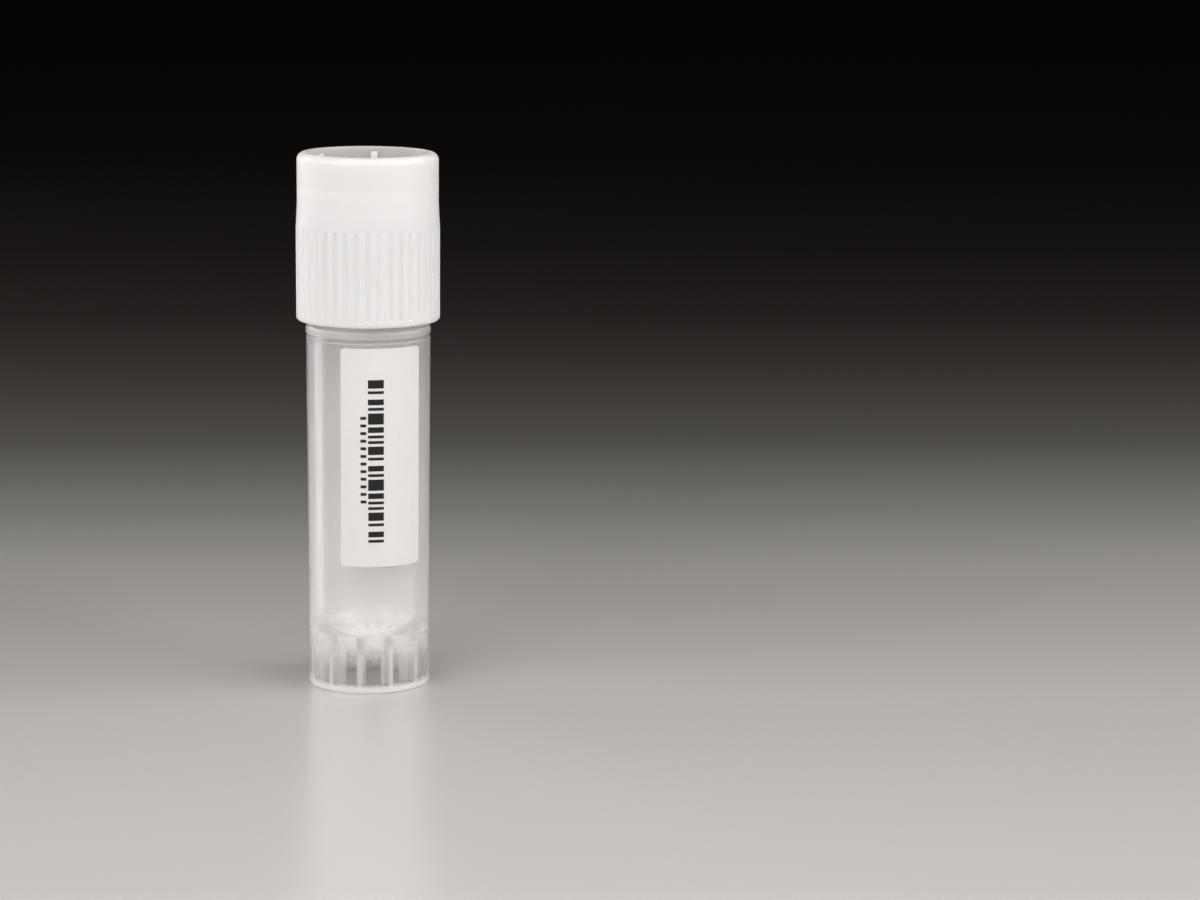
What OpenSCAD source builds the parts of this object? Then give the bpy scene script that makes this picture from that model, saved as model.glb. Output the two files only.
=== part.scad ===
// Self-standing cryovial: a round-bottomed tube with a locking star foot,
// an external-thread screw cap with a knurled skirt, a flat gasket and a film label.
// Millimetres, +Z up. The origin is on the axis, on the plane that the foot stands on.

/* [Closed vial] */
// Height of the vial with its cap screwed home
total_height = 48.5; // [46:0.5:52]
// Gap between the shoulder of the tube and the rim of the closed cap
shoulder_gap = 0.45; // [0.1:0.05:0.5]
// Outer radius of the tube at its shoulder
body_top_r = 5.6; // [5.5:0.01:5.65]
// Outer radius of the straight skirt round the foot
skirt_r = 5.46; // [5.4:0.01:5.5]
// Height of the straight skirt
skirt_height = 9; // [8:0.5:11]

/* [Cavity] */
// Radius of the cavity at its round bottom
cavity_bottom_r = 4.25; // [4.1:0.05:4.35]
// Radius of the cavity at the mouth
cavity_top_r = 4.35; // [4.2:0.05:4.4]
// Height of the centre of the round bottom
cavity_centre_z = 7.05; // [6.9:0.05:7.6]

/* [Star foot] */
// Outer radius of the dome under the cavity
dome_r = 5; // [4.9:0.05:5.1]
// Inner radius of the skirt between two ribs
socket_r = 4.62; // [4.5:0.02:4.7]
// Number of ribs inside the skirt
rib_count = 12; // [6:1:14]
// Thickness of a rib
rib_thickness = 0.72; // [0.5:0.02:0.9]
// Radius of the circle that the noses of the ribs stand on
rib_nose_r = 3.75; // [3.4:0.05:4]
// Height of the bevel at the mouth of the socket
socket_bevel = 0.45; // [0.2:0.05:0.6]
// Width of the bevel at the mouth of the socket
socket_bevel_width = 0.25; // [0.1:0.05:0.35]
// Angle of the first rib, counted from +X
rib_phase = 21; // [0:1:29]

/* [Neck] */
// Outer radius of the neck at the root of its thread
neck_r = 5.02; // [4.95:0.01:5.06]
// Height of the collar under the cap
collar_height = 0.75; // [0.6:0.05:1.2]
// How far the collar stands out from the tube
collar_step = 0.04; // [0.02:0.01:0.05]
// Width of the groove under the collar
groove_width = 0.4; // [0.2:0.02:0.5]
// Depth of the groove under the collar
groove_depth = 0.12; // [0.05:0.01:0.15]

/* [Cap] */
// Height of the cap
cap_height = 15; // [14:0.25:16]
// Radius of the smooth band at the top
band_r = 6.33; // [6.3:0.01:6.4]
// Radius over the knurled grip
grip_r = 6.45; // [6.42:0.01:6.55]
// Radius of the bore at the root of the cap's thread
bore_r = 5.62; // [5.62:0.01:5.7]
// Height of the grip from the rim to where it starts to fade
grip_height = 8.2; // [6:0.2:9]
// Height over which the grip fades into the smooth band
fade_height = 2.4; // [1.5:0.1:2.8]
// Number of grooves round the grip
knurl_count = 40; // [24:4:48]
// Radius of a groove
knurl_r = 0.4; // [0.3:0.01:0.4]
// Depth of a groove
knurl_depth = 0.11; // [0.11:0.01:0.2]
// Depth of the recess in the top
recess_depth = 3; // [2:0.1:3.4]
// Radius of the recess in the top
recess_r = 5.35; // [5.2:0.05:5.45]
// Thickness of the web under the recess
web = 1.1; // [0.8:0.1:1.3]
// Number of ribs that hold a colour insert in the recess
insert_rib_count = 6; // [3:1:12]
// Width of an insert rib
insert_rib_width = 0.6; // [0.4:0.05:0.8]
// How far an insert rib stands out from the wall of the recess
insert_rib_step = 0.2; // [0.1:0.05:0.4]
// Angle of the first insert rib, counted from +X
insert_rib_phase = 23.4; // [0:0.1:59.9]

/* [Gasket] */
// Thickness of the gasket
gasket_thickness = 0.9; // [0.6:0.1:1.2]
// Outer radius of the gasket
gasket_r = 5.2; // [5.1:0.02:5.22]
// Radius of the hole in the gasket
gasket_hole_r = 3.6; // [3:0.1:3.9]

/* [Label] */
// Height of the label
label_height = 19.8; // [12:0.1:20.5]
// Distance from the groove down to the label's upper edge
label_gap = 0.3; // [0.1:0.02:1]
// Angle that the label covers
label_sweep = 79; // [40:0.5:120]
// Angle of the label's middle, from -Y towards +X
label_turn = 13.4; // [-45:0.1:45]
// Thickness of the film with its adhesive
label_thickness = 0.1; // [0.05:0.01:0.2]
// Radius of the label's corners
label_corner_r = 0.35; // [0.2:0.05:1]

/* [Hidden] */
$fn = 96;
eps = 0.01;
clear = 1;

rim_z = total_height - cap_height;
recess_z = total_height - recess_depth;
web_z = recess_z - web;
mouth_z = web_z - gasket_thickness;
shoulder_z = rim_z - shoulder_gap;
collar_z = shoulder_z - collar_height;
groove_z = collar_z - groove_width;
label_z = groove_z - label_gap - label_height;
grip_top_z = rim_z + grip_height;
band_z = grip_top_z + fade_height;

skirt_edge = 0.15;
lip_edge = 0.25;
mouth_edge = 0.3;
neck_fillet = 0.3;
top_round = 0.65;
rim_bevel = [0.15, 0.16];
bore_edge = 0.12;
land_r = 5.3;
land_height = 0.85;
bead_r = 5.1;
bead_height = 0.3;
recess_edge = 0.12;
insert_rib_gap = 0.45;
gasket_edge = 0.15;
knurl_rim = 0.6;
knurl_tip = 1.6;

// Radius of the drafted outside of the tube at height z
function body_r(z) =
    skirt_r + (body_top_r - skirt_r) * max(0, z - skirt_height) / (groove_z - skirt_height);

// A square in the r-z half plane, from r0 to r1 and from z0 to z1
module band2d(r0, r1, z0, z1) {
    translate([r0, z0]) square([r1 - r0, z1 - z0]);
}

// The corner at [x, y] that a true arc of radius r rounds, towards [dx, dy]
module corner2d(x, y, r, dx, dy) {
    difference() {
        translate([min(x, x + dx * r), min(y, y + dy * r)]) square(r);
        translate([x + dx * r, y + dy * r]) circle(r);
    }
}

// Outside of the tube: skirt, drafted wall, groove, collar and neck
module tube_profile() {
    polygon([
        [0, skirt_edge], [skirt_r, skirt_edge], [skirt_r, skirt_height],
        [body_top_r, groove_z], [body_top_r - groove_depth, groove_z + groove_width * 0.25],
        [body_top_r - groove_depth, groove_z + groove_width * 0.75], [body_top_r, collar_z],
        [body_top_r + collar_step, collar_z + 0.05], [body_top_r + collar_step, shoulder_z - lip_edge],
        [body_top_r + collar_step - lip_edge * 0.5, shoulder_z], [neck_r + neck_fillet, shoulder_z],
        [neck_r, shoulder_z + neck_fillet], [neck_r, mouth_z - mouth_edge],
        [neck_r - mouth_edge * 0.6, mouth_z], [0, mouth_z]
    ]);
    difference() {
        band2d(0, skirt_r, 0, skirt_edge);
        corner2d(skirt_r, 0, skirt_edge, -1, 1);
    }
}

// Cavity with its hemispherical bottom, drafted wall and rounded mouth
module cavity() {
    translate([0, 0, cavity_centre_z]) sphere(cavity_bottom_r);
    rotate_extrude() polygon([
        [0, cavity_centre_z], [cavity_bottom_r, cavity_centre_z],
        [cavity_top_r, mouth_z - mouth_edge], [cavity_top_r + mouth_edge * 0.5, mouth_z],
        [cavity_top_r + mouth_edge * 0.5, mouth_z + clear], [0, mouth_z + clear]
    ]);
}

// A radial rib of the foot with a round nose, tall enough to run up into the dome
module foot_rib() {
    translate([0, 0, socket_bevel]) linear_extrude(cavity_centre_z - socket_bevel) {
        translate([rib_nose_r, -rib_thickness / 2])
            square([socket_r + clear - rib_nose_r, rib_thickness]);
        translate([rib_nose_r, 0]) circle(rib_thickness / 2);
    }
}

// The space under the dome, inside the skirt and between the ribs
module star_socket() {
    difference() {
        rotate_extrude() union() {
            difference() {
                band2d(0, socket_r, 0, cavity_centre_z);
                translate([0, cavity_centre_z]) circle(dome_r);
            }
            polygon([
                [0, -clear], [socket_r + socket_bevel_width, -clear],
                [socket_r + socket_bevel_width, 0], [socket_r, socket_bevel], [0, socket_bevel]
            ]);
        }
        for (i = [0 : rib_count - 1])
            rotate([0, 0, rib_phase + i * 360 / rib_count]) foot_rib();
    }
}

module vial_tube() {
    color([0.9, 0.91, 0.9, 0.55])
        difference() {
            rotate_extrude() tube_profile();
            cavity();
            star_socket();
        }
}

// Outside of the cap, filled to the axis
module cap_outside() {
    rotate_extrude() difference() {
        polygon([
            [0, rim_z], [grip_r - rim_bevel[0], rim_z], [grip_r, rim_z + rim_bevel[1]],
            [grip_r, grip_top_z], [band_r, band_z], [band_r, total_height], [0, total_height]
        ]);
        corner2d(band_r, total_height, top_round, -1, -1);
    }
}

// Recess in the top, with its bevelled mouth
module cap_recess() {
    rotate_extrude() polygon([
        [0, recess_z], [recess_r, recess_z], [recess_r, total_height - recess_edge],
        [recess_r + recess_edge, total_height], [recess_r + recess_edge, total_height + clear],
        [0, total_height + clear]
    ]);
}

// Bore from the rim up to the web: thread bore, retaining bead and gasket seat
module cap_bore() {
    land_z = web_z - land_height;
    bead_z = mouth_z - bead_height;
    rotate_extrude() polygon([
        [0, rim_z - clear], [bore_r + bore_edge, rim_z - clear], [bore_r + bore_edge, rim_z],
        [bore_r, rim_z + bore_edge], [bore_r, bead_z - 0.4],
        [bead_r, bead_z], [bead_r, mouth_z - 0.02], [land_r, mouth_z + 0.12],
        [land_r, web_z], [0, web_z]
    ]);
}

// One groove of the grip, with a tip that fades out towards the smooth band
module knurl_groove() {
    translate([grip_r - knurl_depth + knurl_r, 0, rim_z + knurl_rim]) {
        cylinder(r = knurl_r, h = grip_height - knurl_rim, $fn = 24);
        translate([0, 0, grip_height - knurl_rim])
            cylinder(r1 = knurl_r, r2 = eps, h = knurl_tip, $fn = 24);
        translate([0, 0, -knurl_depth])
            cylinder(r1 = knurl_r - knurl_depth, r2 = knurl_r, h = knurl_depth, $fn = 24);
    }
}

// A rib on the wall of the recess that grips a snap-in colour insert
module insert_rib() {
    height = recess_depth - insert_rib_gap;
    translate([recess_r - insert_rib_step, -insert_rib_width / 2, recess_z])
        cube([insert_rib_step + 0.2, insert_rib_width, height]);
}

module screw_cap() {
    color([0.95, 0.95, 0.94]) {
        difference() {
            cap_outside();
            cap_recess();
            cap_bore();
            for (i = [0 : knurl_count - 1])
                rotate([0, 0, i * 360 / knurl_count]) knurl_groove();
        }
        for (i = [0 : insert_rib_count - 1])
            rotate([0, 0, insert_rib_phase + i * 360 / insert_rib_count]) insert_rib();
    }
}

module gasket() {
    color([0.86, 0.87, 0.88])
        rotate_extrude() difference() {
            band2d(gasket_hole_r, gasket_r, mouth_z, web_z);
            corner2d(gasket_r, mouth_z, gasket_edge, -1, 1);
            corner2d(gasket_r, web_z, gasket_edge, -1, -1);
            corner2d(gasket_hole_r, mouth_z, gasket_edge, 1, 1);
            corner2d(gasket_hole_r, web_z, gasket_edge, 1, -1);
        }
}

// Outline of the label as seen square on, with rounded corners
module label_outline(w, h, r) {
    translate([-w / 2 + r, 0]) square([w - 2 * r, h]);
    translate([-w / 2, r]) square([w, h - 2 * r]);
    for (x = [-w / 2 + r, w / 2 - r], y = [r, h - r]) translate([x, y]) circle(r);
}

module label() {
    top_z = label_z + label_height;
    chord = 2 * body_top_r * sin(label_sweep / 2);
    color("white")
        rotate([0, 0, label_turn - 90])
            intersection() {
                rotate([0, 0, -label_sweep / 2 - 10])
                    rotate_extrude(angle = label_sweep + 20) polygon([
                        [body_r(label_z), label_z], [body_r(label_z) + label_thickness, label_z],
                        [body_r(top_z) + label_thickness, top_z], [body_r(top_z), top_z]
                    ]);
                translate([0, 0, label_z]) rotate([90, 0, 90]) linear_extrude(body_top_r + clear)
                    label_outline(chord, label_height, label_corner_r);
            }
}

vial_tube();
screw_cap();
gasket();
label();
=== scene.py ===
import math

import bmesh
import bpy
from mathutils import Matrix, Vector


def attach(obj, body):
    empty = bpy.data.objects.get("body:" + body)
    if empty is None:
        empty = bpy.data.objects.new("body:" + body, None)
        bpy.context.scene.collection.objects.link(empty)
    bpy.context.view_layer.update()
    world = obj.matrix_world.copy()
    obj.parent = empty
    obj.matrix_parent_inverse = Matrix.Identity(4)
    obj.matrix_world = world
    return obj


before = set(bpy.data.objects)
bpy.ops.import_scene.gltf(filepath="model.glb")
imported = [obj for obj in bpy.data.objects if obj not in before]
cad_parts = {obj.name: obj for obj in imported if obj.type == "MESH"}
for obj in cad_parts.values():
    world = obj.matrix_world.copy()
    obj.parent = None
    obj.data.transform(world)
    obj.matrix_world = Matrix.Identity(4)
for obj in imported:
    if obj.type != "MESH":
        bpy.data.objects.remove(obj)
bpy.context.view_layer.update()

mm = 0.001
weldGap = 0.0005 * mm    # points closer than this become one


# sizes shared with the solids, in millimetres

vial = {
    "skirtRadius": 5.46,      # straight skirt round the foot
    "skirtHeight": 9.0,
    "bodyTopRadius": 5.6,     # tube just under its groove
    "grooveHeight": 31.9,     # lower edge of that groove
    "neckRadius": 5.02,
    "boreRadius": 5.62,       # cap's bore
    "filmThickness": 0.1,
}


def bodyRadius(z):  # drafted outside of the tube at height z
    widening = vial["bodyTopRadius"] - vial["skirtRadius"]
    draft = widening / (vial["grooveHeight"] - vial["skirtHeight"])
    return vial["skirtRadius"] + draft * max(0, z - vial["skirtHeight"])


# small helpers

def linearColour(hexText):
    parts = [int(hexText[i:i + 2], 16) / 255 for i in (1, 3, 5)]
    return [c / 12.92 if c <= 0.04045 else ((c + 0.055) / 1.055) ** 2.4 for c in parts] + [1.0]


def addNode(tree, kind, settings=None, links=None):
    # a link comes from a socket, or from a node, whose first output in use it then takes
    node = tree.nodes.new(kind)
    for key, value in (settings or {}).items():
        if isinstance(key, int) or key in node.inputs:
            node.inputs[key].default_value = value
        else:
            setattr(node, key, value)
    for key, source in (links or {}).items():
        if isinstance(source, bpy.types.Node):
            source = next(socket for socket in source.outputs if socket.enabled)
        tree.links.new(source, node.inputs[key])
    return node


def startMaterial(name):
    material = bpy.data.materials.new(name)
    material.use_nodes = True
    tree = material.node_tree
    tree.nodes.clear()
    point = addNode(tree, "ShaderNodeTexCoord").outputs["Object"]
    return material, tree, point


def distanceFromAxis(tree, point):
    flat = addNode(tree, "ShaderNodeVectorMath", {"operation": "MULTIPLY", 1: (1, 1, 0)},
                   {0: point})
    return addNode(tree, "ShaderNodeVectorMath", {"operation": "LENGTH"}, {0: flat})


def finishPiece(bm, name, material, body, smooth=True):
    bmesh.ops.remove_doubles(bm, verts=bm.verts, dist=weldGap)
    # spin leaves the faces in no fixed order, so they are put in the order of their corners
    bm.verts.index_update()
    count = len(bm.verts)
    bm.faces.sort(key=lambda face: min(vert.index for vert in face.verts) * count
                  + max(vert.index for vert in face.verts))
    bmesh.ops.recalc_face_normals(bm, faces=bm.faces)
    for face in bm.faces:
        face.smooth = smooth
    mesh = bpy.data.meshes.new(name)
    bm.to_mesh(mesh)
    bm.free()
    mesh.materials.append(material)
    piece = bpy.data.objects.new(name, mesh)
    bpy.context.scene.collection.objects.link(piece)
    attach(piece, body)


# camera

cameraFacts = {
    "distance": 0.2907,   # metres from the vial's axis, along -Y
    "height": 0.0761,     # metres over the floor
    "yaw": 4.141,         # degrees towards +X
    "pitch": 10.633,      # degrees below level
    "roll": 0.59,
    "lens": 97.55,        # millimetres
    "sensorWidth": 36,
}


def makeCamera(facts):
    data = bpy.data.cameras.new("camera")
    data.lens = facts["lens"]
    data.sensor_width = facts["sensorWidth"]
    data.clip_start, data.clip_end = 0.01, 20
    camera = bpy.data.objects.new("camera", data)
    bpy.context.scene.collection.objects.link(camera)
    turn = Matrix.Rotation(math.radians(-facts["yaw"]), 4, "Z")
    tilt = Matrix.Rotation(math.radians(90 - facts["pitch"]), 4, "X")
    roll = Matrix.Rotation(math.radians(facts["roll"]), 4, "Z")
    place = Matrix.Translation((0, -facts["distance"], facts["height"]))
    camera.matrix_world = place @ turn @ tilt @ roll
    bpy.context.scene.camera = camera


makeCamera(cameraFacts)
print("camera set")


# floor, world and lamps

floorFacts = {
    "radius": 3.0,        # metres
    # place along Y in metres, from the front to the back, and the colour of the sheet there, with
    # the falloff of light painted in
    "colours": [(-0.06, "#c7c5c3"), (-0.035, "#c9c7c6"), (-0.01, "#c8c6c4"), (0.02, "#bfbdbc"),
                (0.05, "#b3b2b0"), (0.08, "#979693"), (0.12, "#6e6c69"), (0.17, "#54504e"),
                (0.23, "#3b3735"), (0.32, "#2c2826"), (0.5, "#231f1d"), (0.9, "#231f1d")],
    "roughness": 0.28,
}


def sheetWithPaintedFalloff(facts):
    # satin backdrop sheet with painted light falloff: pale grey in front, where the light pools, to
    # near black behind
    material, tree, point = startMaterial("satin sheet with painted light falloff")
    along = addNode(tree, "ShaderNodeSeparateXYZ", None, {"Vector": point}).outputs["Y"]
    front, back = facts["colours"][0][0], facts["colours"][-1][0]
    # painted falloff of light: the sheet's colour darkens from the front to the back
    howFar = addNode(tree, "ShaderNodeMapRange", {"From Min": front, "From Max": back},
                     {"Value": along})
    ramp = addNode(tree, "ShaderNodeValToRGB", None, {"Fac": howFar})
    stops = ramp.color_ramp.elements
    while len(stops) < len(facts["colours"]):
        stops.new(0.5)
    for stop, (place, colour) in zip(stops, facts["colours"]):
        stop.position = (place - front) / (back - front)
        stop.color = linearColour(colour)
    shader = addNode(tree, "ShaderNodeBsdfPrincipled",
                     {"Roughness": facts["roughness"], "IOR": 1.45}, {"Base Color": ramp})
    addNode(tree, "ShaderNodeOutputMaterial", None, {"Surface": shader})
    return material


def makeFloor(facts):
    bm = bmesh.new()
    bmesh.ops.create_circle(bm, cap_ends=True, segments=96, radius=facts["radius"])
    mesh = bpy.data.meshes.new("floor")
    bm.to_mesh(mesh)
    bm.free()
    floor = bpy.data.objects.new("floor", mesh)
    bpy.context.scene.collection.objects.link(floor)
    mesh.materials.append(sheetWithPaintedFalloff(facts))


worldFacts = {
    # upward part of a direction (0 level, 1 straight up) and how bright the room is there
    "tones": [(0.0, 0.001), (0.30, 0.002), (0.55, 0.015), (0.8, 0.03), (1.0, 0.03)],
    "tint": (1.0, 0.93, 0.87),
}


def makeWorld(facts):
    # a dark room, a little lighter overhead
    world = bpy.data.worlds.new("studio")
    bpy.context.scene.world = world
    world.use_nodes = True
    tree = world.node_tree
    tree.nodes.clear()
    way = addNode(tree, "ShaderNodeTexCoord").outputs["Generated"]
    parts = addNode(tree, "ShaderNodeSeparateXYZ", None, {"Vector": way})
    ramp = addNode(tree, "ShaderNodeValToRGB", None, {"Fac": parts.outputs["Z"]})
    stops = ramp.color_ramp.elements
    while len(stops) < len(facts["tones"]):
        stops.new(0.5)
    for stop, (upward, tone) in zip(stops, facts["tones"]):
        stop.position = upward
        stop.color = [tone * part for part in facts["tint"]] + [1.0]
    glow = addNode(tree, "ShaderNodeBackground", None, {"Color": ramp})
    addNode(tree, "ShaderNodeOutputWorld", None, {"Surface": glow})


lampFacts = {
    "tint": (1.0, 0.97, 0.957),
    # name, place, aim, width and height in metres, watts, spread in degrees
    "lamps": [
        ("leftSoftbox", (-0.29, -0.29, 0.25), (0, 0, 0.025), 0.44, 0.34, 1.57, 180),
        ("rightSoftbox", (0.40, -0.145, 0.285), (0, 0, 0.025), 0.44, 0.32, 1.95, 180),
        ("rimSoftbox", (-0.36, 0.26, 0.16), (0, 0, 0.025), 0.34, 0.36, 0.85, 180),
        ("floorLight", (0.01, -0.19, 0.40), (0.01, -0.18, 0), 0.2, 0.2, 0.17, 60),
    ],
}


def makeLamps(facts):
    for name, place, aim, width, height, watts, spread in facts["lamps"]:
        data = bpy.data.lights.new(name, "AREA")
        data.shape = "RECTANGLE"
        data.size, data.size_y = width, height
        data.energy = watts
        data.spread = math.radians(spread)
        data.color = facts["tint"]
        lamp = bpy.data.objects.new(name, data)
        lamp.visible_camera = False    # it lights and mirrors, but isn't seen itself
        bpy.context.scene.collection.objects.link(lamp)
        look = (Vector(aim) - Vector(place)).to_track_quat("-Z", "Y")
        lamp.matrix_world = Matrix.Translation(place) @ look.to_matrix().to_4x4()


makeFloor(floorFacts)
makeWorld(worldFacts)
makeLamps(lampFacts)
bpy.context.scene.view_settings.view_transform = "Standard"
print("floor, world and lamps set")


# materials of the vial; every length in them is in millimetres

tubeFinish = {
    "colour": "#f8f7f7",
    "roughness": (0.10, 0.15),
    # how milky the plastic is, from 0, clear, to 1, opaque
    "wall": 0.20,
    "collar": 0.37,            # ring under the cap
    "dome": 0.28,              # thick bottom of the tube
    "skirt": 0.04,             # skirt between two ribs
    "skirtAtRib": 0.43,        # skirt in front of a rib
    "rib": 0.95,
    "ring": 0.65,              # ring that the vial stands on
    "collarEnds": (32.3, 33.05),
    # heights between which each comes in, from above
    "domeTop": (7.6, 4.8),
    "footTop": (4.8, 2.0),     # ribs, and skirt round them
    "ringTop": (0.9, 0.4),
    # ribs of the star foot
    "ribCount": 12,
    "ribPhase": 21,            # degrees from +X
    "ribHalf": 0.45,           # a little over half a rib's thickness
    # distances from a rib's middle between which the skirt over it turns milky
    "ribShows": (0.28, 0.14),
    # radii between which the ribs end and the skirt begins
    "skirtInside": (4.5, 4.6),
    # share of a lamp's light that one face lets through, in the tube and down in the foot
    "lampsPass": (0.85, 0.32),
    "passTop": (6.5, 3.5),     # heights between which the foot's share comes in
    # part of the tube's outside that is under the label: middle and half of what it spans,
    # in degrees from +X and in height, and the radius past which a face is on the outside
    "gluedAngle": (-76.5, 36.9),
    "gluedHeight": (21.7, 9.65),
    "gluedFrom": 5.3,
    "cloudSize": 7.0,          # size of the milky clouds
    "cloudSpan": (0.3, 0.7),   # noise values that give the least and the most of the milk
    "cloudShare": (0.9, 1.1),
    "hazeSize": 4.0,           # size of the patches that are a little less glossy
    "waveSize": 1.2,           # faint waves of the moulded surface
    "waveDepth": 0.05,
    "waveStrength": 0.05,
}


def naturalPolypropylene(facts):
    # natural polypropylene, injection moulded: clear where it is thin, milky where it is thick,
    # and softly glossy
    material, tree, point = startMaterial("natural moulded polypropylene")
    parts = addNode(tree, "ShaderNodeSeparateXYZ", None, {"Vector": point})
    height = parts.outputs["Z"]
    radius = distanceFromAxis(tree, point)

    # distance from the middle of the nearest rib
    angle = addNode(tree, "ShaderNodeMath", {"operation": "ARCTAN2"},
                    {0: parts.outputs["Y"], 1: parts.outputs["X"]})
    fromFirst = addNode(tree, "ShaderNodeMath",
                        {"operation": "SUBTRACT", 1: math.radians(facts["ribPhase"])}, {0: angle})
    fromRib = addNode(tree, "ShaderNodeMath",
                      {"operation": "PINGPONG", 1: math.pi / facts["ribCount"]}, {0: fromFirst})
    aside = addNode(tree, "ShaderNodeMath", {"operation": "MULTIPLY"}, {0: fromRib, 1: radius})

    # each goes smoothly from 0 at the first value of its fact to 1 at the second
    cameIn = {}
    for name, source in (("ribShows", aside), ("skirtInside", radius), ("domeTop", height),
                         ("footTop", height), ("ringTop", height), ("passTop", height)):
        start, end = facts[name]
        cameIn[name] = addNode(tree, "ShaderNodeMapRange",
                               {"interpolation_type": "SMOOTHSTEP",
                                "From Min": start * mm, "From Max": end * mm}, {"Value": source})

    # milkiness of the foot: ribs and dome inside, skirt outside
    onRib = addNode(tree, "ShaderNodeMath",
                    {"operation": "LESS_THAN", 1: facts["ribHalf"] * mm}, {0: aside})
    inside = addNode(tree, "ShaderNodeMix", {"A": facts["dome"], "B": facts["rib"]},
                     {"Factor": onRib})
    skirt = addNode(tree, "ShaderNodeMix", {"A": facts["skirt"], "B": facts["skirtAtRib"]},
                    {"Factor": cameIn["ribShows"]})
    foot = addNode(tree, "ShaderNodeMix", None,
                   {"Factor": cameIn["skirtInside"], "A": inside, "B": skirt})

    # milkiness from the top down: collar and wall, dome, foot, ring
    low, high = (z * mm for z in facts["collarEnds"])
    onCollar = addNode(tree, "ShaderNodeMath",
                       {"operation": "COMPARE", 1: (low + high) / 2, 2: (high - low) / 2},
                       {0: height})
    wall = addNode(tree, "ShaderNodeMix", {"A": facts["wall"], "B": facts["collar"]},
                   {"Factor": onCollar})
    tube = addNode(tree, "ShaderNodeMix", {"B": facts["dome"]},
                   {"Factor": cameIn["domeTop"], "A": wall})
    footed = addNode(tree, "ShaderNodeMix", None,
                     {"Factor": cameIn["footTop"], "A": tube, "B": foot})
    milk = addNode(tree, "ShaderNodeMix", {"B": facts["ring"]},
                   {"Factor": cameIn["ringTop"], "A": footed})
    clouds = addNode(tree, "ShaderNodeTexNoise",
                     {"Scale": 1 / (facts["cloudSize"] * mm), "Detail": 3.0}, {"Vector": point})
    thin, dense = facts["cloudSpan"]
    least, most = facts["cloudShare"]
    uneven = addNode(tree, "ShaderNodeMapRange",
                     {"From Min": thin, "From Max": dense, "To Min": least, "To Max": most},
                     {"Value": clouds})
    cloudy = addNode(tree, "ShaderNodeMath", {"operation": "MULTIPLY"}, {0: milk, 1: uneven})
    bare = addNode(tree, "ShaderNodeMath", {"operation": "SUBTRACT", 0: 1.0}, {1: cloudy})

    # the glue wets the plastic, so the tube's face is clear under the label
    middle, half = (math.radians(a) for a in facts["gluedAngle"])
    across = addNode(tree, "ShaderNodeMath", {"operation": "COMPARE", 1: middle, 2: half},
                     {0: angle})
    middle, half = (z * mm for z in facts["gluedHeight"])
    along = addNode(tree, "ShaderNodeMath", {"operation": "COMPARE", 1: middle, 2: half},
                    {0: height})
    behind = addNode(tree, "ShaderNodeMath", {"operation": "MULTIPLY"}, {0: across, 1: along})
    outer = addNode(tree, "ShaderNodeMath",
                    {"operation": "GREATER_THAN", 1: facts["gluedFrom"] * mm}, {0: radius})
    glued = addNode(tree, "ShaderNodeMath", {"operation": "MULTIPLY"}, {0: behind, 1: outer})
    clear = addNode(tree, "ShaderNodeMath", {"operation": "MAXIMUM"}, {0: bare, 1: glued})

    haze = addNode(tree, "ShaderNodeTexNoise",
                   {"Scale": 1 / (facts["hazeSize"] * mm), "Detail": 3.0}, {"Vector": point})
    smooth, rough = facts["roughness"]
    gloss = addNode(tree, "ShaderNodeMapRange", {"To Min": smooth, "To Max": rough},
                    {"Value": haze})
    waves = addNode(tree, "ShaderNodeTexNoise", {"Scale": 1 / (facts["waveSize"] * mm)},
                    {"Vector": point})
    wavy = addNode(tree, "ShaderNodeBump",
                   {"Strength": facts["waveStrength"], "Distance": facts["waveDepth"] * mm},
                   {"Height": waves})
    plastic = addNode(tree, "ShaderNodeBsdfPrincipled",
                      {"Base Color": linearColour(facts["colour"]), "IOR": 1.49},
                      {"Transmission Weight": clear, "Roughness": gloss, "Normal": wavy})

    # lamps shine through the clear walls
    path = addNode(tree, "ShaderNodeLightPath")
    inTube, inFoot = facts["lampsPass"]
    part = addNode(tree, "ShaderNodeMix", {"A": inTube, "B": inFoot},
                   {"Factor": cameIn["passTop"]})
    share = addNode(tree, "ShaderNodeMath", {"operation": "MAXIMUM"}, {0: part, 1: glued})
    through = addNode(tree, "ShaderNodeBsdfTransparent", None, {"Color": share})
    both = addNode(tree, "ShaderNodeMixShader", None,
                   {0: path.outputs["Is Shadow Ray"], 1: plastic, 2: through})
    addNode(tree, "ShaderNodeOutputMaterial", None, {"Surface": both})
    return material


capFinish = {
    "colour": "#fbfaf8",
    "web": "#fefdfc",          # whiter over the web, where the plastic is thickest: painted glow for the light that thick plastic sends back
    "thin": "#f2f1ef",         # painted shade on the thin wall round the recess, which lets light through
    # heights between which the web's painted glow comes in, and then the thin wall's painted shade
    "webFrom": (42.4, 43.2),
    "thinFrom": (45.2, 45.8),
    "recess": "#c3c1c0",       # painted shade on the wall inside the recess
    "recessWall": (5.4, 0.1),  # radius of that wall, and how far from it a face still counts
    "recessFloor": 45.0,       # height from which it counts
    "roughness": (0.32, 0.42),
    "satinSize": 5.0,          # size of the patches that are a little less glossy
    "depth": 1.2,              # how far light goes into it
    "grainSize": 0.15,         # fine grain of the mould
    "grainDepth": 0.02,
    "grainStrength": 0.06,
}


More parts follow.
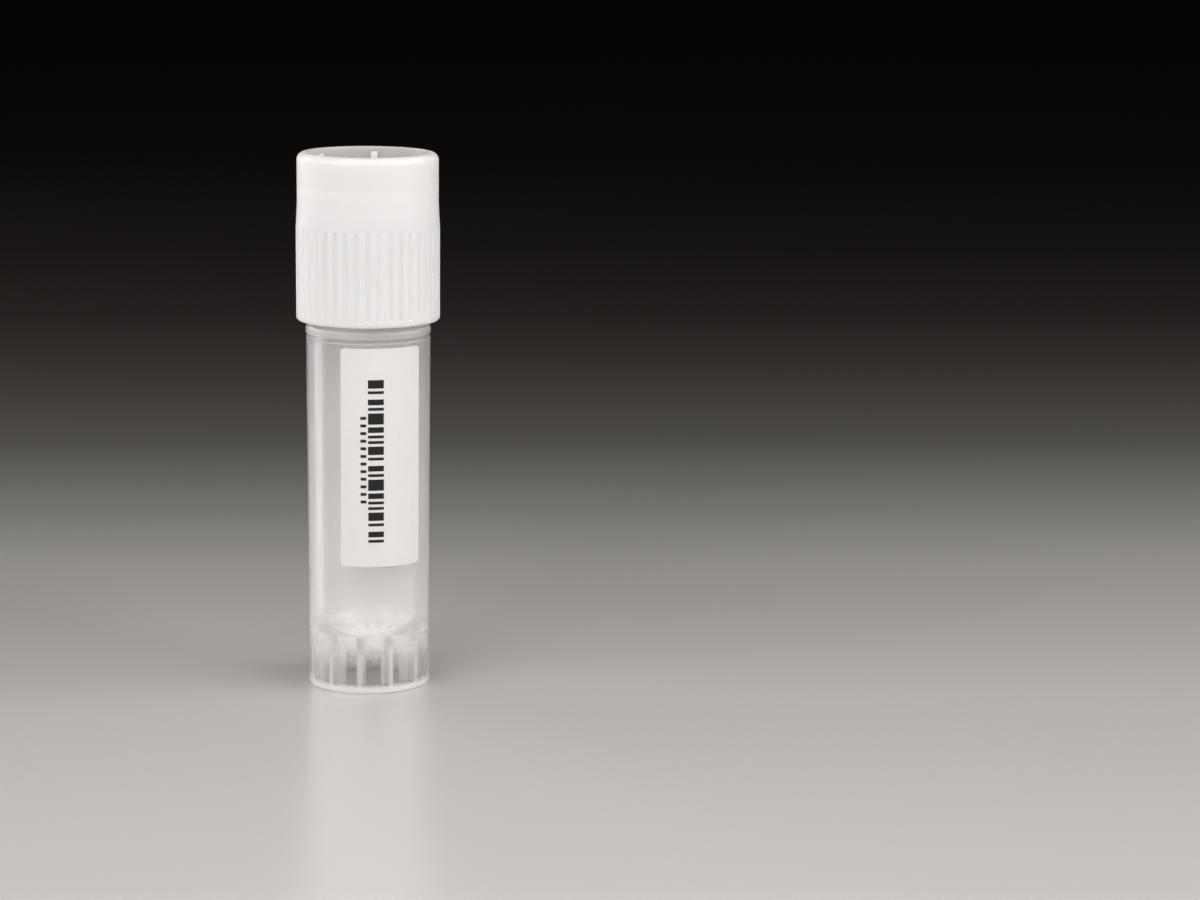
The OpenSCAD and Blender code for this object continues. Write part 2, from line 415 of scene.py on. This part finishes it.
def whitePolyethylene(facts):
    # white polyethylene, injection moulded: satin, and light passes a little way into it
    material, tree, point = startMaterial("white moulded polyethylene")
    parts = addNode(tree, "ShaderNodeSeparateXYZ", None, {"Vector": point})
    radius = distanceFromAxis(tree, point)
    height = parts.outputs["Z"]

    # colour from the rim up: grip and band, web with painted glow, thin wall with painted shade,
    # and painted shade on the wall of the recess inside it
    low, high = (z * mm for z in facts["webFrom"])
    onWeb = addNode(tree, "ShaderNodeMapRange", {"From Min": low, "From Max": high},
                    {"Value": height})
    low, high = (z * mm for z in facts["thinFrom"])
    onThin = addNode(tree, "ShaderNodeMapRange", {"From Min": low, "From Max": high},
                     {"Value": height})
    # painted light: whiter over the thick web, shaded over the thin wall
    lower = addNode(tree, "ShaderNodeMix",
                    {"data_type": "RGBA", "A": linearColour(facts["colour"]),
                     "B": linearColour(facts["web"])}, {"Factor": onWeb})
    outside = addNode(tree, "ShaderNodeMix",
                      {"data_type": "RGBA", "B": linearColour(facts["thin"])},
                      {"Factor": onThin, "A": lower})
    # painted shade: the wall of the recess is made greyer
    middle, half = (r * mm for r in facts["recessWall"])
    onWall = addNode(tree, "ShaderNodeMath", {"operation": "COMPARE", 1: middle, 2: half},
                     {0: radius})
    above = addNode(tree, "ShaderNodeMath",
                    {"operation": "GREATER_THAN", 1: facts["recessFloor"] * mm}, {0: height})
    recess = addNode(tree, "ShaderNodeMath", {"operation": "MULTIPLY"}, {0: onWall, 1: above})
    colour = addNode(tree, "ShaderNodeMix",
                     {"data_type": "RGBA", "B": linearColour(facts["recess"])},
                     {"Factor": recess, "A": outside})

    patches = addNode(tree, "ShaderNodeTexNoise",
                      {"Scale": 1 / (facts["satinSize"] * mm), "Detail": 3.0}, {"Vector": point})
    smooth, rough = facts["roughness"]
    satin = addNode(tree, "ShaderNodeMapRange", {"To Min": smooth, "To Max": rough},
                    {"Value": patches})
    grain = addNode(tree, "ShaderNodeTexNoise", {"Scale": 1 / (facts["grainSize"] * mm)},
                    {"Vector": point})
    grainy = addNode(tree, "ShaderNodeBump",
                     {"Strength": facts["grainStrength"], "Distance": facts["grainDepth"] * mm},
                     {"Height": grain})
    shader = addNode(tree, "ShaderNodeBsdfPrincipled",
                     {"IOR": 1.5, "Subsurface Weight": 1.0,
                      "Subsurface Scale": facts["depth"] * mm,
                      "Subsurface Radius": (1.0, 0.97, 0.92)},
                     {"Base Color": colour, "Roughness": satin, "Normal": grainy})
    addNode(tree, "ShaderNodeOutputMaterial", None, {"Surface": shader})
    return material


sealFinish = {
    "colours": ("#dcdbd8", "#e6e5e2"),
    "cloudSize": 2.0,          # size of its faint clouds
}


def siliconeRubber(facts):
    # silicone rubber, pressed: soft sheen, slightly cloudy
    material, tree, point = startMaterial("pressed silicone rubber")
    clouds = addNode(tree, "ShaderNodeTexNoise", {"Scale": 1 / (facts["cloudSize"] * mm)},
                     {"Vector": point})
    dark, light = (linearColour(colour) for colour in facts["colours"])
    colour = addNode(tree, "ShaderNodeMix", {"data_type": "RGBA", "A": dark, "B": light},
                     {"Factor": clouds})
    shader = addNode(tree, "ShaderNodeBsdfPrincipled", {"Roughness": 0.45, "IOR": 1.41},
                     {"Base Color": colour})
    addNode(tree, "ShaderNodeOutputMaterial", None, {"Surface": shader})
    return material


filmFinish = {
    "colours": ("#eae9e8", "#f2f1f0"),
    "toothSize": 0.12,         # tooth of the coat, which is finer still on the real film
    "toothDepth": 0.01,
    "toothStrength": 0.1,
}


def coatedFilm(facts):
    # white polyolefin film with a matt coat that takes print: a fine tooth, no gloss
    material, tree, point = startMaterial("matt coated label film")
    tooth = addNode(tree, "ShaderNodeTexNoise", {"Scale": 1 / (facts["toothSize"] * mm)},
                    {"Vector": point})
    dark, light = (linearColour(colour) for colour in facts["colours"])
    colour = addNode(tree, "ShaderNodeMix", {"data_type": "RGBA", "A": dark, "B": light},
                     {"Factor": tooth})
    toothed = addNode(tree, "ShaderNodeBump",
                      {"Strength": facts["toothStrength"], "Distance": facts["toothDepth"] * mm},
                      {"Height": tooth})
    shader = addNode(tree, "ShaderNodeBsdfPrincipled", {"Roughness": 0.55, "IOR": 1.5},
                     {"Base Color": colour, "Normal": toothed})
    addNode(tree, "ShaderNodeOutputMaterial", None, {"Surface": shader})
    return material


inkFinish = {
    "colours": ("#0d0d0d", "#1c1b1a"),
    "wearSize": 0.3,           # size of the worn spots
}


def thermalInk(facts):
    # black thermal transfer print: dense, worn a little grey in spots
    material, tree, point = startMaterial("black thermal transfer print")
    wear = addNode(tree, "ShaderNodeTexNoise", {"Scale": 1 / (facts["wearSize"] * mm)},
                   {"Vector": point})
    dark, light = (linearColour(colour) for colour in facts["colours"])
    colour = addNode(tree, "ShaderNodeMix", {"data_type": "RGBA", "A": dark, "B": light},
                     {"Factor": wear})
    shader = addNode(tree, "ShaderNodeBsdfPrincipled", {"Roughness": 0.4, "IOR": 1.5},
                     {"Base Color": colour})
    addNode(tree, "ShaderNodeOutputMaterial", None, {"Surface": shader})
    return material


tubePlastic = naturalPolypropylene(tubeFinish)
capPlastic = whitePolyethylene(capFinish)
ink = thermalInk(inkFinish)
for name, material in (("vial_tube", tubePlastic), ("screw_cap", capPlastic),
                       ("gasket", siliconeRubber(sealFinish)), ("label", coatedFilm(filmFinish))):
    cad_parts[name].data.materials.clear()
    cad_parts[name].data.materials.append(material)
print("materials set")


# threads: both right-handed, one between the turns of the other

threadFacts = {
    "pitch": 2.4,              # millimetres, as are the lengths below
    "stepsPerTurn": 72,
    "runOut": 0.12,            # share of a turn over which each end fades
    "endHeight": 0.05,         # share of the full height that is left at the very ends
    "sink": 0.06,              # how far a thread's root sits inside its wall
    # start is a height and crest a radius; root and top are widths, at the wall and at the crest
    "neck": {"start": 38.9, "turns": 1.5, "crest": 5.45, "root": 1.15, "top": 0.45},
    "cap": {"start": 39.4, "turns": 1.0, "crest": 5.14, "root": 1.05, "top": 0.40},
}


def makeThread(name, facts, wallRadius, shared, material, body, phase=0.0):
    pitch, steps = shared["pitch"], shared["stepsPerTurn"]
    outward = 1 if facts["crest"] > wallRadius else -1
    sunk = wallRadius - outward * shared["sink"]
    profile = [(sunk, -facts["root"] / 2), (facts["crest"], -facts["top"] / 2),
               (facts["crest"], facts["top"] / 2), (sunk, facts["root"] / 2)]
    bm = bmesh.new()
    stand = bm.verts.layers.float.new("stand")    # radius before the ends fade
    turn = bm.verts.layers.float.new("turn")      # turns from the start
    ring = []
    for radius, z in profile:
        corner = bm.verts.new((radius * mm, 0, (facts["start"] + z) * mm))
        corner[stand] = radius
        ring.append(corner)
    first = bm.faces.new(ring)
    bmesh.ops.rotate(bm, verts=ring, cent=(0, 0, 0), matrix=Matrix.Rotation(phase, 3, "Z"))
    last = [first] + list(first.edges) + ring
    for i in range(round(facts["turns"] * steps)):
        made = bmesh.ops.spin(bm, geom=last, cent=(0, 0, 0), axis=(0, 0, 1),
                              angle=2 * math.pi / steps, dvec=(0, 0, pitch / steps * mm),
                              steps=1, use_merge=False, use_duplicate=False)
        last = made["geom_last"]
        for item in last:
            if isinstance(item, bmesh.types.BMVert):
                item[turn] = (i + 1) / steps
    for vert in bm.verts:
        reach = min(vert[turn], facts["turns"] - vert[turn]) / shared["runOut"]
        fade = min(1.0, max(shared["endHeight"], reach))
        radius = sunk + (vert[stand] - sunk) * fade
        flat = Vector((vert.co.x, vert.co.y, 0)).normalized() * radius * mm
        vert.co.x, vert.co.y = flat.x, flat.y
    finishPiece(bm, name, material, body)


# the cap's thread is turned so that it lies half a pitch under the neck's
halfPitchUnder = threadFacts["neck"]["start"] - threadFacts["pitch"] / 2
capOffset = threadFacts["cap"]["start"] - halfPitchUnder
capPhase = 2 * math.pi * capOffset / threadFacts["pitch"]
makeThread("neck_thread", threadFacts["neck"], vial["neckRadius"], threadFacts, tubePlastic, "vial")
makeThread("cap_thread", threadFacts["cap"], vial["boreRadius"], threadFacts, capPlastic, "cap",
           capPhase)
print("threads made")


# print on the label: bars in a plain repeating rhythm and a row of ticks
# they stand for no code or number

printFacts = {
    "thickness": 0.012,        # millimetres, as are the other lengths
    "sunk": 0.02,              # how far the print reaches into the film
    "facetAngle": 2.0,         # most degrees that one flat facet of it covers
    "top": 28.8,               # upper end of the bars
    "module": 0.25,            # width of the narrowest bar
    # bar, space, bar, space ... from the top down, in modules; the two groups take turns
    "groups": [[3, 1, 1, 2, 2, 1, 1, 1], [4, 1, 2, 1, 1, 1, 1, 1]],
    "groupCount": 5,
    "barsFrom": -0.5,          # angles from -Y towards +X, in degrees
    "barsTo": 13.8,
    "ticksTop": 25.5,
    "tickCount": 12,
    "tickPitch": 0.69,
    "tickHeight": 0.26,
    "ticksFrom": -7.4,
    "ticksTo": -2.2,
}


def addPatch(bm, low, high, angleFrom, angleTo, facts):
    # a thin closed patch on the film, between two heights and two angles
    lowRadius, highRadius = (bodyRadius(z) + vial["filmThickness"] for z in (low, high))
    corners = [(lowRadius - facts["sunk"], low), (lowRadius + facts["thickness"], low),
               (highRadius + facts["thickness"], high), (highRadius - facts["sunk"], high)]
    start = math.radians(angleFrom - 90)
    sweep = math.radians(angleTo - angleFrom)
    ring = [bm.verts.new((r * mm * math.cos(start), r * mm * math.sin(start), z * mm))
            for r, z in corners]
    face = bm.faces.new(ring)
    bmesh.ops.spin(bm, geom=[face] + list(face.edges) + ring, cent=(0, 0, 0), axis=(0, 0, 1),
                   angle=sweep, steps=math.ceil((angleTo - angleFrom) / facts["facetAngle"]),
                   use_merge=False, use_duplicate=False)


def makeBars(facts):
    bm = bmesh.new()
    z = facts["top"]
    for group in range(facts["groupCount"]):
        for i, width in enumerate(facts["groups"][group % 2]):
            below = z - width * facts["module"]
            if i % 2 == 0:
                addPatch(bm, below, z, facts["barsFrom"], facts["barsTo"], facts)
            z = below
    finishPiece(bm, "bar_print", ink, "vial", smooth=False)


def makeTicks(facts):
    bm = bmesh.new()
    for i in range(facts["tickCount"]):
        high = facts["ticksTop"] - i * facts["tickPitch"]
        addPatch(bm, high - facts["tickHeight"], high, facts["ticksFrom"], facts["ticksTo"], facts)
    finishPiece(bm, "tick_print", ink, "vial", smooth=False)


makeBars(printFacts)
makeTicks(printFacts)
print("print made")
